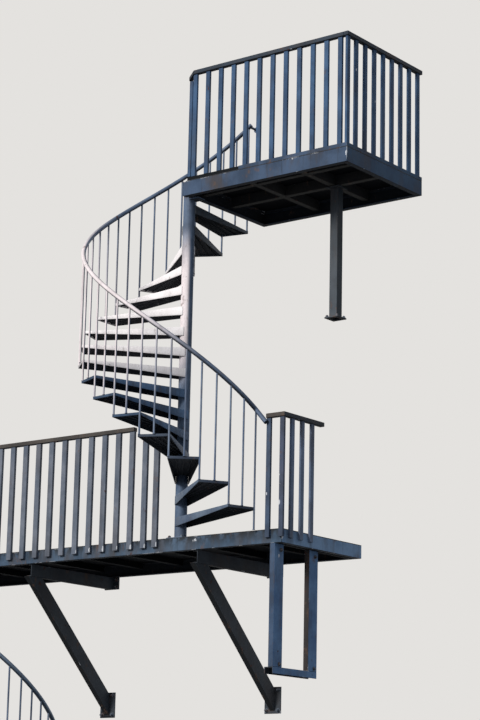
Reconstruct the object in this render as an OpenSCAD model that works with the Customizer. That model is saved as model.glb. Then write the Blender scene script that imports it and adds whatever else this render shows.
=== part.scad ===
// Fire escape stair tower: two winding steel flights, a lower walkway on wall
// brackets and an upper platform, all hung from one wall.
// The wall's face is the plane y = 0. The origin is the centre of the right
// bracket beam where it meets the wall.

/* [Levels] */
// Walking surface of the walkway above the middle of the bracket beams
walk_top = 186; // [150:1:230]
// Height of one riser
riser = 201.5; // [180:0.5:220]
// Risers from the walkway to the platform
upper_risers = 17; // [12:1:20]
// Risers from the ground to the walkway
lower_risers = 23; // [12:1:26]
// Thickness of the deck plates
deck_t = 6; // [4:1:12]

/* [Walkway and platform] */
// Depth of both decks, from the wall to the front
depth = 1250; // [1000:10:1500]
// Right end of the walkway
walk_right = 990; // [600:1:1400]
// Left end of the walkway
walk_left = -4267; // [-5200:5:-3600]
// Right end of the platform
plat_right = 1648; // [1200:1:2200]
// Left end of the platform
plat_left = -220; // [-400:1:0]
// Length by which the platform's front channel runs past its left end
front_past = 29; // [0:1:50]
// Height of the walkway's channels
walk_ch_h = 120; // [80:1:160]
// Height of the platform's channels
plat_ch_h = 140; // [100:1:180]
// Flange width of the deck channels
ch_w = 55; // [40:1:70]
// Web thickness of the channels
web_t = 7; // [4:0.5:12]
// Flange thickness of the channels
flange_t = 9; // [5:0.5:14]
// Height of the kick plate above the platform's deck
kick_h = 36; // [30:1:120]
// Distance of the kick plate's start from the platform's left end
kick_start = 634; // [0:10:1200]
// Size of the square joist tubes under the walkway's deck
joist_w = 60; // [40:1:80]
// Number of joists under the walkway's deck
joist_count = 9; // [4:1:14]
// Width of the beams under the platform's deck
plat_beam_w = 60; // [40:1:80]
// Height of the beams under the platform's deck
plat_beam_h = 100; // [60:1:130]
// Distances of the two lengthwise platform beams from the front
plat_beam_in = [190, 640]; // [100:10:900]
// Position of the cross beam between the platform's ends
plat_cross_x = 465; // [0:5:900]

/* [Wall brackets] */
// Distance from one bracket to the next
bracket_gap = 2055; // [1500:10:2600]
// Height of the bracket beams
beam_h = 120; // [80:1:160]
// Flange width of the bracket beams
beam_w = 55; // [40:1:70]
// Distance of a beam's front end behind the walkway's front
beam_back = 20; // [0:1:80]
// Depth of the struts, seen from the side
strut_h = 140; // [80:1:180]
// Flange width of the struts
strut_w = 60; // [40:1:80]
// Height of the middle of a strut's foot below the beam's middle
strut_foot = 1216; // [900:5:1600]
// Distance of the strut's upper end behind the beam's front end
strut_top_in = 60; // [40:5:200]
// Thickness of the wall plates
wall_plate_t = 12; // [8:1:20]
// Width of the wall plates
wall_plate_w = 190; // [100:5:220]
// Height of the strut's wall plate
foot_plate_h = 250; // [160:5:320]

/* [Hanging frame and post] */
// Depth of the hanging frame below the walkway's channels
hang_drop = 1146; // [800:1:1500]
// Width of a hanging leg, seen from the front
leg_w = 54; // [40:1:120]
// Width of a hanging leg, seen from the side
leg_d = 134; // [60:1:160]
// Thickness of the hanging legs
leg_t = 8; // [5:1:12]
// Width of the bar between the legs' feet
hang_bar_w = 95; // [60:1:140]
// Distance of the legs from the walkway's right end
leg_in = 74; // [20:5:200]
// Length of the hanging frame, from the front
side_len = 660; // [500:5:900]
// Length of the walkway's right side railing, from the front
side_rail_len = 580; // [400:5:900]
// Height of the bar between the legs
hang_bar_h = 60; // [30:1:80]
// Size of the square post under the platform
post_w = 86; // [60:1:120]
// Wall of the square post
post_wall = 5; // [3:0.5:8]
// Middle of the post, left to right
post_x = 1048; // [800:1:1400]
// Middle of the post, front to back
post_y = -545; // [-900:5:-200]
// Height of the post's foot above the origin
post_foot_z = 2230; // [1800:10:2800]
// Width of the post's two plates
post_plate_w = 150; // [100:5:220]
// Thickness of the post's two plates
post_plate_t = 12; // [8:1:20]

/* [Winding flights] */
// Middle of the lower column, left to right
low_col_x = -2853; // [-3400:1:-2400]
// Distance of the upper column behind the front edge
col_in = 140; // [60:1:200]
// Diameter of the columns
col_d = 114.3; // [80:0.1:200]
// Wall of the columns
col_wall = 6.3; // [4:0.1:12]
// Width of the upper column's base plate
col_plate_w = 190; // [130:5:260]
// Length by which a head plate reaches under the deck's channels
head_reach = 90; // [60:5:160]
// Width of the columns' head plates
head_w = 100; // [60:5:180]
// Thickness of the columns' head plates
head_t = 12; // [8:1:30]
// Width of the lower column's plate on the ground
ground_plate_w = 260; // [190:5:400]
// Thickness of the columns' base plates
col_plate_t = 14; // [8:1:20]
// Turn from one tread to the next, in degrees
tread_turn = 16.03; // [12:0.01:22]
// Direction of the upper flight's first tread, in degrees
upper_first = -17.9; // [-40:0.1:0]
// Direction of the lower flight's top tread, in degrees
lower_top = -169.5; // [-180:0.1:-140]
// Gap between the wall and the outer corners of the upper treads
wall_gap = 108; // [60:1:200]
// Angle between a tread's outer corners, in degrees
tread_fan = 17.1; // [15:0.1:22]
// Depth of a tread at the column
tread_deep = 84; // [60:1:120]
// Depth of a tread at its outer end
tread_thin = 24; // [20:1:50]
// Thickness of the treads' plates
tread_t = 6; // [3:0.5:8]
// Number of ribs under a tread
rib_count = 3; // [1:1:5]
// Depth of the ribs below a tread's top
rib_h = 20; // [12:1:22]
// Clearance between pieces that are fixed to each other
seat_gap = 0.3; // [0.2:0.05:0.5]

/* [Handrails and balusters] */
// Diameter of the handrails
rail_d = 42.4; // [30:0.1:60]
// Distance of the handrails' middle inside the treads' outer corners
rail_edge = 8; // [0:1:40]
// Height of the handrail's middle above a tread's middle
rail_rise = 992; // [850:1:1050]
// Diameter of the balusters
bal_d = 18; // [12:0.5:30]
// Turn by which the lower handrail goes on past its last baluster, in degrees
rail_past = 2; // [1:0.5:6]
// Height of the handrails' lower and upper ends below the walkway's top rails
tip_drop = 43; // [40:1:100]
// Upper end of the upper handrail, in degrees
upper_rail_to = -268; // [-275:1:-240]
// Length over which a handrail's corner is rounded, on either side of it
corner_len = 25; // [10:1:60]
// Diameter of the wall hook at the upper handrail's end
hook_d = 24; // [12:1:36]
// Turn from the handrail's upper end back to the wall hook, in degrees
hook_back = 1.2; // [1:0.1:10]

/* [Railings] */
// Width of the flat slats
slat_w = 48; // [40:1:70]
// Thickness of the flat slats
slat_t = 26; // [10:1:40]
// Width of the slats in the walkway's long front railing
long_slat_w = 60; // [40:1:70]
// Thickness of the slats in the walkway's long front railing
long_slat_t = 30; // [10:1:40]
// Height of the long walkway railing's top above the deck
walk_rail_h = 1080; // [900:1:1200]
// Height of the right walkway railing's top above the deck
right_rail_h = 1043; // [900:1:1200]
// Height of the platform railing's top above the deck
plat_rail_h = 1104; // [900:1:1200]
// Thickness of the top rails
top_rail_t = 40; // [20:1:60]
// Width of the top rails
top_rail_w = 50; // [40:1:80]
// Distance of the slats' lower ends above the walkway channels' underside
slat_up = 50; // [0:1:100]
// Pitch of the slats at the walkway's front
walk_pitch = 171; // [120:1:200]
// Right end of the walkway's long front railing
walk_rail_right = -731; // [-1100:1:-600]
// Positions of the two short slats beside the long railing
stub_x = [-595, -456]; // [-700:5:-300]
// Tops of the two short slats above the walkway channels
stub_h = 950; // [300:10:1000]
// Middle of the first slat at the right of the stair's opening
open_slat = 843; // [700:1:860]
// Distance of the first side slat's middle behind the walkway's front
side_first = 115; // [80:1:180]
// Pitch of the slats at the walkway's sides
side_pitch = 152; // [120:1:200]
// Width of the end post at the left of the platform's front railing
end_post_w = 38; // [30:1:60]
// Distance of the end post from the platform's left end
end_post_in = 14; // [0:1:60]
// Drop of the front top rail down to the end post
rail_drop = 60; // [20:1:100]
// Distance of the first front slat's middle from the platform's left end
plat_first = 82; // [80:1:160]
// Pitch of the slats at the platform's front
plat_pitch = 154; // [120:1:200]
// Distance of the first side slat's middle behind the platform's front
plat_side_first = 161; // [120:1:220]
// Pitch of the slats at the platform's side
plat_side_pitch = 148; // [120:1:200]
// Height of the bottom rail on the platform's deck
bottom_t = 36; // [10:1:60]
// Width of the bottom rail
bottom_w = 50; // [30:1:70]

/* [Hidden] */
over = 1;
walk_ch_z = walk_top - deck_t - walk_ch_h;
plat_top = walk_top + upper_risers * riser;
plat_ch_z = plat_top - deck_t - plat_ch_h;
ground_z = walk_top - lower_risers * riser;
half_turn = 180;
blue_treads = 7;
col_r = col_d / 2;
col_x = plat_left - col_r - seat_gap;
col_y = -depth + col_in;
low_col_y = -depth - col_r - seat_gap;
tread_root = col_r + 2 * seat_gap + tread_t;
tread_r = -col_y - wall_gap;
rail_r = tread_r - rail_edge;
beam_z = walk_ch_z - beam_h;
rail_slope = atan(riser / (rail_r * tread_turn * PI / half_turn));
ring_sides = 12;
ring_step = 5;
corner_steps = 4;
round_n = 96;
small_n = 24;
post_top = plat_top - deck_t - plat_beam_h;
rail_line = -depth - slat_t - seat_gap - rail_d / 2;

// Wall brackets.

// Channel section lying along x, its web on the side of y = 0
module channel(len, h, w, web, flange) {
    difference() {
        cube([len, w, h]);
        translate([-over, web, flange])
            cube([len + 2 * over, w, h - 2 * flange]);
    }
}

// Plate that a bracket part bears on, centred on x = 0 and z = mid
module wall_plate(h, mid) {
    translate([-wall_plate_w / 2, -wall_plate_t, mid - h / 2])
        cube([wall_plate_w, wall_plate_t, h]);
}

// One bracket beam with its wall plate; the web looks to the right
module bracket_beam(x) {
    color("slategray") translate([x, 0, 0]) union() {
        translate([beam_w / 2, -depth + beam_back, beam_z])
            rotate([0, 0, 90])
            channel(depth - beam_back - wall_plate_t, beam_h, beam_w, web_t, flange_t);
        wall_plate(beam_h, beam_z + beam_h / 2);
    }
}

// Slope line of a strut, moved by off square to it: its height at a given y
function strut_top_y() = -depth + beam_back + strut_top_in;
function strut_run() = -wall_plate_t - strut_top_y();
function strut_fall() = strut_foot + beam_z;
function strut_len() = sqrt(pow(strut_run(), 2) + pow(strut_fall(), 2));
function strut_z(y, off) =
    beam_z - (y - strut_top_y()) * strut_fall() / strut_run()
    + off * strut_len() / strut_run();
function strut_y(z, off) =
    strut_top_y() + (beam_z + off * strut_len() / strut_run() - z)
    * strut_run() / strut_fall();

// Strip of the strut between two offsets, as a plate of width w at x = 0
module strut_strip(low, high, w) {
    rotate([90, 0, 90])
        linear_extrude(w)
        polygon([
            [strut_y(beam_z, low), beam_z],
            [-wall_plate_t, strut_z(-wall_plate_t, low)],
            [-wall_plate_t, strut_z(-wall_plate_t, high)],
            [strut_y(beam_z, high), beam_z]
        ]);
}

// One sloping strut with its wall plate; the web looks to the right
module bracket_strut(x) {
    color("slategray") translate([x, 0, 0]) union() {
        translate([strut_w / 2 - web_t, 0, 0])
            strut_strip(-strut_h / 2, strut_h / 2, web_t);
        translate([-strut_w / 2, 0, 0])
            strut_strip(-strut_h / 2, -strut_h / 2 + flange_t, strut_w);
        translate([-strut_w / 2, 0, 0])
            strut_strip(strut_h / 2 - flange_t, strut_h / 2, strut_w);
        wall_plate(foot_plate_h, -strut_foot);
    }
}

// Decks and their channels.

// One side of a rectangle of channels, cut at 45 degrees at both ends.
// Sides are counted front 0, right 1, back 2, left 3.
module ring_side(x0, x1, z, h, side) {
    corners = [[x0, -depth], [x1, -depth], [x1, 0], [x0, 0]];
    inner = [
        [x0 + ch_w, -depth + ch_w], [x1 - ch_w, -depth + ch_w],
        [x1 - ch_w, -ch_w], [x0 + ch_w, -ch_w]
    ];
    next = (side + 1) % 4;
    color("slategray") intersection() {
        translate([0, 0, z])
            linear_extrude(h)
            polygon([corners[side], corners[next], inner[next], inner[side]]);
        difference() {
            translate([x0, -depth, z])
                cube([x1 - x0, depth, h]);
            translate([x0 + web_t, -depth + web_t, z + flange_t])
                cube([x1 - x0 - 2 * web_t, depth - 2 * web_t, h - 2 * flange_t]);
        }
    }
}

// Front channel of the platform; it runs past the left channel and is cut at
// 45 degrees at the right
module platform_channel_front() {
    x0 = plat_left - front_past;
    color("slategray") translate([x0, -depth, plat_ch_z]) intersection() {
        channel(plat_right - x0, plat_ch_h, ch_w, web_t, flange_t);
        linear_extrude(plat_ch_h)
            polygon([[0, 0], [plat_right - x0, 0], [plat_right - x0 - ch_w, ch_w], [0, ch_w]]);
    }
}

// Left channel of the platform; it butts on the front channel
module platform_channel_left() {
    color("slategray") difference() {
        ring_side(plat_left, plat_right, plat_ch_z, plat_ch_h, 3);
        translate([plat_left - over, -depth - over, plat_ch_z - over])
            cube([ch_w + 2 * over, ch_w + over, plat_ch_h + 2 * over]);
    }
}

// Joists under the walkway's deck, and the deeper beam that the hanging frame
// is fixed to
module walkway_joists() {
    first = walk_left + ch_w;
    last = walk_right - ch_w;
    gap = (last - first) / (joist_count + 1);
    color("slategray")
        for (i = [1 : joist_count])
            translate([first + i * gap - joist_w / 2, -depth + ch_w, walk_top - deck_t - joist_w])
            cube([joist_w, depth - 2 * ch_w, joist_w]);
    color("slategray")
        translate([walk_right - leg_in - leg_w, -depth + ch_w, walk_ch_z])
        cube([leg_w, depth - 2 * ch_w, walk_ch_h]);
}

// Walkway deck plate
module walkway_deck() {
    color("dimgray")
        translate([walk_left, -depth, walk_top - deck_t])
        cube([walk_right - walk_left, depth, deck_t]);
}

// Platform deck plate
module platform_deck() {
    color("dimgray")
        translate([plat_left, -depth, plat_top - deck_t])
        cube([plat_right - plat_left, depth, deck_t]);
}

// Two beams from front to back under the platform's deck
module platform_beams_cross() {
    color("slategray")
        for (x = [plat_cross_x, post_x])
            translate([x - plat_beam_w / 2, -depth + ch_w, plat_top - deck_t - plat_beam_h])
            cube([plat_beam_w, depth - 2 * ch_w, plat_beam_h]);
}

// Short beams between the cross beams and the end channels
module platform_beams_long() {
    half = plat_beam_w / 2;
    starts = [plat_left + ch_w, plat_cross_x + half, post_x + half];
    ends = [plat_cross_x - half, post_x - half, plat_right - ch_w];
    color("slategray")
        for (d = plat_beam_in, i = [0 : 2])
            translate([starts[i], -depth + d, plat_top - deck_t - plat_beam_h])
            cube([ends[i] - starts[i], plat_beam_w, plat_beam_h]);
}

// Kick plate along the front, from its start to the right corner
module platform_kick_front() {
    color("slategray")
        translate([plat_left + kick_start, -depth, plat_top])
        cube([plat_right - plat_left - kick_start, deck_t, kick_h]);
}

// Kick plate along the right side
module platform_kick_side() {
    color("slategray")
        translate([plat_right - deck_t, -depth + deck_t, plat_top])
        cube([deck_t, depth - deck_t, kick_h]);
}

// Square post with a foot plate and a head plate
module platform_post() {
    inner_w = post_w - 2 * post_wall;
    color("slategray") translate([post_x, post_y, post_foot_z]) difference() {
        union() {
            for (z = [0, post_top - post_foot_z - post_plate_t])
                translate([-post_plate_w / 2, -post_plate_w / 2, z])
                cube([post_plate_w, post_plate_w, post_plate_t]);
            translate([-post_w / 2, -post_w / 2, 0])
                cube([post_w, post_w, post_top - post_foot_z]);
        }
        translate([-inner_w / 2, -inner_w / 2, -over])
            cube([inner_w, inner_w, post_top - post_foot_z + 2 * over]);
    }
}

// Hanging frame below the walkway's right end.

// Square-cornered tube leg, its front face at y = 0
module hanging_leg() {
    z0 = walk_ch_z - hang_drop + hang_bar_h;
    translate([walk_right - leg_in - leg_w, 0, z0]) difference() {
        cube([leg_w, leg_d, walk_ch_z - z0]);
        translate([leg_t, leg_t, -over])
            cube([leg_w - 2 * leg_t, leg_d - 2 * leg_t, walk_ch_z - z0 + 2 * over]);
    }
}

module hanging_leg_front() {
    color("slategray") translate([0, -depth, 0]) hanging_leg();
}

module hanging_leg_back() {
    color("slategray") translate([0, -depth + side_len - leg_d, 0]) hanging_leg();
}

// Channel lying on its web between the feet of the legs
module hanging_bar() {
    color("slategray")
        translate([walk_right - leg_in - hang_bar_w, -depth, walk_ch_z - hang_drop])
        difference() {
            cube([hang_bar_w, side_len, hang_bar_h]);
            translate([leg_t, -over, -over])
                cube([hang_bar_w - 2 * leg_t, side_len + 2 * over, hang_bar_h - leg_t + over]);
        }
}

// Columns.

// Column standing on a base plate, with its axis at x = y = 0 and its foot at
// z = 0. Its head plate lies under the deck's channels at height head_z and
// reaches out along x; a cap closes the tube.
module column(len, base_w, head_z) {
    color("whitesmoke") difference() {
        union() {
            cylinder(h = len, r = col_r, $fn = round_n);
            translate([-base_w / 2, -base_w / 2, 0])
                cube([base_w, base_w, col_plate_t]);
            translate([0, -head_w / 2, head_z - head_t])
                cube([col_r + seat_gap + head_reach, head_w, head_t]);
        }
        translate([0, 0, -over])
            cylinder(h = len - col_wall + over, r = col_r - col_wall, $fn = round_n);
    }
}

// Column of the upper flight, beside the platform's left end
module column_upper() {
    translate([col_x, col_y, walk_top])
        column(plat_top - deck_t - walk_top, col_plate_w, plat_ch_z - walk_top);
}

// Column of the lower flight, in front of the walkway
module column_lower() {
    translate([low_col_x, low_col_y, ground_z])
        rotate([0, 0, 90])
        column(walk_top - deck_t - ground_z, ground_plate_w, walk_ch_z - ground_z);
}

// Treads.

// Plan of a tread: the x of its outer end, and half of its width at a given x.
// Its cheeks pass the column on both sides.
function tread_out_x() = tread_r * cos(tread_fan / 2);
function tread_out_y() = tread_r * sin(tread_fan / 2);
function half_w(x) = tread_root + (tread_out_y() - tread_root) * x / tread_out_x();

// Depth of a tread at a given x
function tread_depth(x) = tread_deep + (tread_thin - tread_deep) * x / tread_out_x();

// Side of pocket i between the ribs and cheeks, at a given x; side is -1 or 1
function pocket_y(i, side, x) =
    let (line = i + (side + 1) / 2)
    let (edge = line == 0 || line == rib_count + 1)
    half_w(x) * (2 * line / (rib_count + 1) - 1) - side * (edge ? tread_t : tread_t / 2);

// Inner sides of the corner notch that clears the baluster of the tread below
function notch_x() = rail_r * cos(tread_turn / 2) - bal_d / 2 - seat_gap;
function notch_y() = rail_r * sin(tread_turn / 2) - bal_d / 2 - seat_gap;

// One tread with its top at z = 0, pointing along x from the column's axis
module tread() {
    end_x = tread_out_x();
    in_x = end_x - tread_t;
    difference() {
        translate([0, tread_r, 0])
            rotate([90, 0, 0])
            linear_extrude(2 * tread_r)
            polygon([[0, 0], [end_x, 0], [end_x, -tread_depth(end_x)], [0, -tread_depth(0)]]);
        for (side = [-1, 1])
            translate([0, 0, -2 * tread_deep])
            linear_extrude(3 * tread_deep)
            polygon([
                [-over, side * half_w(-over)],
                [end_x + over, side * half_w(end_x + over)],
                [end_x + over, 2 * side * tread_r],
                [-over, 2 * side * tread_r]
            ]);
        translate([0, 0, -2 * tread_deep])
            linear_extrude(2 * tread_deep - rib_h)
            polygon([
                [-over, -half_w(-over) + tread_t], [in_x, -half_w(in_x) + tread_t],
                [in_x, half_w(in_x) - tread_t], [-over, half_w(-over) - tread_t]
            ]);
        for (i = [0 : rib_count])
            translate([0, 0, -2 * tread_deep])
            linear_extrude(2 * tread_deep - tread_t)
            polygon([
                [-over, pocket_y(i, -1, -over)], [in_x, pocket_y(i, -1, in_x)],
                [in_x, pocket_y(i, 1, in_x)], [-over, pocket_y(i, 1, -over)]
            ]);
        translate([0, 0, -tread_deep - over])
            cylinder(h = tread_deep + 2 * over, r = col_r + seat_gap, $fn = round_n);
        translate([notch_x(), notch_y(), -tread_deep - over])
            cube([tread_r, tread_r, tread_deep + 2 * over]);
    }
}

// Height of tread k of the upper flight, counted upward from 1
function upper_z(k) = walk_top + k * riser;
function upper_a(k) = upper_first - (k - 1) * tread_turn;

// Height of tread k of the lower flight, counted downward from 1
function lower_z(k) = walk_top - k * riser;
function lower_a(k) = lower_top + (k - 1) * tread_turn;

module treads_upper(first, last) {
    color("whitesmoke")
        for (k = [first : last])
            translate([col_x, col_y, upper_z(k)])
            rotate([0, 0, upper_a(k)])
            tread();
}

module treads_lower(first, last) {
    color("steelblue")
        for (k = [first : last])
            translate([low_col_x, low_col_y, lower_z(k)])
            rotate([0, 0, lower_a(k)])
            tread();
}

// Handrails and balusters.

// Length of a baluster, from a tread to just under the handrail
function bal_len(off) =
    rail_rise - off / tread_turn * riser
    - rail_d / 2 / cos(rail_slope) - bal_d / 2 * tan(rail_slope) - seat_gap;

// Baluster at an angle from the middle of a tread whose middle points along x;
// it goes on below the tread's top by drop
module baluster(off, drop) {
    rotate([0, 0, off])
        translate([rail_r, 0, -drop])
        cylinder(h = bal_len(off) + drop, d = bal_d, $fn = small_n);
}

// Two balusters on a tread: one at its middle and one at its rear corner
module tread_balusters() {
    baluster(0, 0);
    baluster(-tread_turn / 2, 0);
}

module balusters_upper() {
    color("whitesmoke") {
        for (k = [1 : upper_risers - 1])
            translate([col_x, col_y, upper_z(k)])
            rotate([0, 0, upper_a(k)])
            tread_balusters();
        translate([col_x, col_y, upper_z(1)])
            rotate([0, 0, upper_a(1)])
            baluster(tread_turn / 2, riser);
    }
}

module balusters_lower() {
    color("whitesmoke") {
        for (k = [1 : lower_risers - 1])
            translate([low_col_x, low_col_y, lower_z(k)])
            rotate([0, 0, lower_a(k)])
            tread_balusters();
        translate([low_col_x, low_col_y, lower_z(lower_risers - 1)])
            rotate([0, 0, lower_a(lower_risers - 1)])
            baluster(tread_turn / 2, riser);
    }
}

// Points of a handrail's centre line about a column at x = cx and y = cy
function rail_point(cx, cy, a, z) = [cx + rail_r * cos(a), cy + rail_r * sin(a), z];
function upper_rail_z(a) =
    upper_z(1) + rail_rise + (upper_first - a) / tread_turn * riser;
function lower_rail_z(a) =
    lower_z(1) + rail_rise + (lower_top - a) / tread_turn * riser;
function upper_point(a) = rail_point(col_x, col_y, a, upper_rail_z(a));
function lower_point(a) = rail_point(low_col_x, low_col_y, a, lower_rail_z(a));

upper_rail_from = upper_first + tread_turn / 2;
lower_rail_from = lower_top - tread_turn / 2;
lower_rail_to = lower_a(lower_risers - 1) + tread_turn / 2 + rail_past;
corner_turn = corner_len / rail_r * half_turn / PI;
low_open_slat = low_col_x - (open_slat - col_x);

// End of a handrail in front of the slat at x, below the top rail
function slat_end(x) = [x, rail_line, right_top - top_rail_t - tip_drop];

// Rounded corner between a and b about the sharp corner c, without b itself
function rounded(a, c, b) =
    [for (i = [0 : corner_steps - 1])
        let (t = i / corner_steps)
        (1 - t) * (1 - t) * a + 2 * t * (1 - t) * c + t * t * b];
function steps(a0, a1) = ceil(abs(a1 - a0) / ring_step);
function toward(p, q, d) = p + d * unit(q - p);

function upper_path() =
    let (c = upper_point(upper_rail_from))
    let (tip = slat_end(open_slat - slat_w / 4))
    let (a0 = upper_rail_from - corner_turn)
    let (n = steps(a0, upper_rail_to))
    concat(
        [tip],
        rounded(toward(c, tip, corner_len), c, upper_point(a0)),
        [for (i = [0 : n]) upper_point(a0 + (upper_rail_to - a0) * i / n)]
    );

function lower_path() =
    let (c = lower_point(lower_rail_from))
    let (tip = slat_end(low_open_slat + slat_w / 4))
    let (a0 = lower_rail_from + corner_turn)
    let (n = steps(a0, lower_rail_to))
    concat(
        [tip],
        rounded(toward(c, tip, corner_len), c, lower_point(a0)),
        [for (i = [0 : n]) lower_point(a0 + (lower_rail_to - a0) * i / n)]
    );

function unit(v) = v / norm(v);

// Direction of a path at point i
function heading(path, i) =
    i == 0 ? unit(path[1] - path[0])
    : i == len(path) - 1 ? unit(path[i] - path[i - 1])
    : unit(path[i + 1] - path[i - 1]);

// Round tube swept along a path
module swept(path, d) {
    last = len(path) - 1;
    points = [
        for (i = [0 : last])
            let (t = heading(path, i))
            let (n = unit(cross(t, [0, 0, 1])))
            let (b = cross(n, t))
            for (j = [0 : ring_sides - 1])
                let (a = j * 360 / ring_sides)
                path[i] + d / 2 * (cos(a) * n + sin(a) * b)
    ];
    faces = concat(
        [[for (j = [0 : ring_sides - 1]) j]],
        [[for (j = [0 : ring_sides - 1]) last * ring_sides + ring_sides - 1 - j]],
        [for (i = [0 : last - 1], j = [0 : ring_sides - 1])
            let (k = (j + 1) % ring_sides)
            [i * ring_sides + j, (i + 1) * ring_sides + j,
             (i + 1) * ring_sides + k, i * ring_sides + k]]
    );
    polyhedron(points, faces, convexity = 10);
}

module handrail_upper() {
    color("whitesmoke") swept(upper_path(), rail_d);
}

module handrail_lower() {
    color("whitesmoke") swept(lower_path(), rail_d);
}

// Round bar from the wall to the handrail's upper end
module handrail_hook() {
    at = upper_point(upper_rail_to + hook_back);
    color("whitesmoke")
        translate([at[0], 0, at[2]])
        rotate([90, 0, 0]) union() {
            cylinder(h = -at[1] - rail_d / 2 - seat_gap, d = hook_d, $fn = small_n);
            cylinder(h = deck_t, d = 2.5 * hook_d, $fn = 2 * small_n);
        }
}

// Railings.

// Upright slat on the front, its middle at x, between two heights
module front_slat(x, y, z0, z1, w = slat_w, t = slat_t) {
    translate([x - w / 2, y - t, z0])
        cube([w, t, z1 - z0]);
}

// Upright slat on a side, its middle at y, between two heights
module side_slat(x, y, z0, z1) {
    translate([x, y - slat_w / 2, z0])
        cube([slat_t, slat_w, z1 - z0]);
}

slat_z0 = walk_ch_z + slat_up;
long_top = walk_top + walk_rail_h;
right_top = walk_top + right_rail_h;
rail_over = (top_rail_w - slat_t) / 2;

// Long front railing of the walkway, with the two short slats beside it
module railing_walkway_front() {
    left = low_col_x + col_plate_w / 2;
    count = floor((walk_rail_right - long_slat_w - left) / walk_pitch);
    color("lightslategray") {
        translate([left, -depth - (long_slat_t + top_rail_w) / 2, long_top - top_rail_t])
            cube([walk_rail_right - left, top_rail_w, top_rail_t]);
        for (i = [0 : count])
            front_slat(walk_rail_right - long_slat_w / 2 - i * walk_pitch, -depth, slat_z0,
                long_top - top_rail_t, long_slat_w, long_slat_t);
        for (x = stub_x)
            front_slat(x, -depth, slat_z0, walk_top - deck_t + stub_h, long_slat_w, long_slat_t);
    }
}

// Short front railing between the stair's opening and the right corner
module railing_walkway_right() {
    corner = walk_right + slat_t - slat_w / 2;
    color("lightslategray") {
        translate([open_slat - slat_w / 2, -depth - slat_t - rail_over, right_top - top_rail_t])
            cube([walk_right + slat_t + rail_over - open_slat + slat_w / 2, top_rail_w, top_rail_t]);
        for (x = [open_slat, corner])
            front_slat(x, -depth, slat_z0, right_top - top_rail_t);
    }
}

// Side railing at the walkway's right end
module railing_walkway_right_side() {
    y0 = -depth - slat_t - rail_over + top_rail_w;
    color("lightslategray") {
        translate([walk_right - rail_over, y0, right_top - top_rail_t])
            cube([top_rail_w, -depth + side_rail_len - y0, top_rail_t]);
        for (i = [1 : 3])
            side_slat(walk_right, -depth + side_first + (i - 1) * side_pitch, slat_z0,
                right_top - top_rail_t);
    }
}

// Short front railing between the lower flight's opening and the left corner
module railing_walkway_left() {
    corner = walk_left - slat_t + slat_w / 2;
    count = ceil((low_open_slat - corner) / walk_pitch);
    color("lightslategray") {
        translate([walk_left - slat_t - rail_over, -depth - slat_t - rail_over,
                right_top - top_rail_t])
            cube([low_open_slat + slat_w / 2 - walk_left + slat_t + rail_over, top_rail_w,
                top_rail_t]);
        for (i = [0 : count])
            front_slat(corner + i * (low_open_slat - corner) / count, -depth, slat_z0,
                right_top - top_rail_t);
    }
}

// Side railing at the walkway's left end, from the front to the wall
module railing_walkway_left_side() {
    y0 = -depth - slat_t - rail_over + top_rail_w;
    count = floor((depth - side_first - slat_w / 2) / side_pitch);
    color("lightslategray") {
        translate([walk_left - slat_t - rail_over, y0, right_top - top_rail_t])
            cube([top_rail_w, -y0, top_rail_t]);
        for (i = [0 : count])
            side_slat(walk_left - slat_t, -depth + side_first + i * side_pitch, slat_z0,
                right_top - top_rail_t);
    }
}

plat_rail_top = plat_top + plat_rail_h;
plat_slat_y = -depth + deck_t + slat_t;
plat_slat_x = plat_right - deck_t - slat_t;
slat_foot = plat_top + bottom_t;
drop_run = end_post_w + 2 * web_t;

// Front railing of the platform, on a bottom rail that lies on the deck. Its top
// rail drops to the end post at the left.
module railing_platform_front() {
    x0 = plat_left + end_post_in;
    x1 = plat_slat_x - rail_over;
    y0 = -depth + deck_t - rail_over;
    count = floor((x1 - plat_left - plat_first) / plat_pitch);
    post_z = plat_rail_top - top_rail_t - rail_drop;
    color("lightslategray") {
        translate([0, y0 + top_rail_w, 0])
            rotate([90, 0, 0])
            linear_extrude(top_rail_w)
            polygon([
                [x0, post_z], [x0 + end_post_w, post_z],
                [x0 + drop_run, plat_rail_top - top_rail_t], [x1, plat_rail_top - top_rail_t],
                [x1, plat_rail_top], [x0 + drop_run - web_t, plat_rail_top],
                [x0, plat_rail_top - rail_drop]
            ]);
        translate([x0, -depth + deck_t, plat_top])
            cube([x1 - x0, bottom_w, bottom_t]);
        translate([x0, plat_slat_y - slat_t, slat_foot])
            cube([end_post_w, slat_t, post_z - slat_foot]);
        for (i = [0 : count])
            front_slat(plat_left + plat_first + i * plat_pitch, plat_slat_y, slat_foot,
                plat_rail_top - top_rail_t);
    }
}

// Side railing of the platform, from the front corner to the wall
module railing_platform_side() {
    count = floor((depth - plat_side_first - slat_w / 2) / plat_side_pitch);
    corner_y = -depth + deck_t + slat_w / 2;
    color("lightslategray") {
        translate([plat_slat_x - rail_over, -depth + deck_t - rail_over, plat_rail_top - top_rail_t])
            cube([top_rail_w, depth - deck_t + rail_over, top_rail_t]);
        side_slat(plat_slat_x, corner_y, plat_top, plat_rail_top - top_rail_t);
        for (i = [0 : count])
            side_slat(plat_slat_x, -depth + plat_side_first + i * plat_side_pitch, plat_top,
                plat_rail_top - top_rail_t);
    }
}

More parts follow.
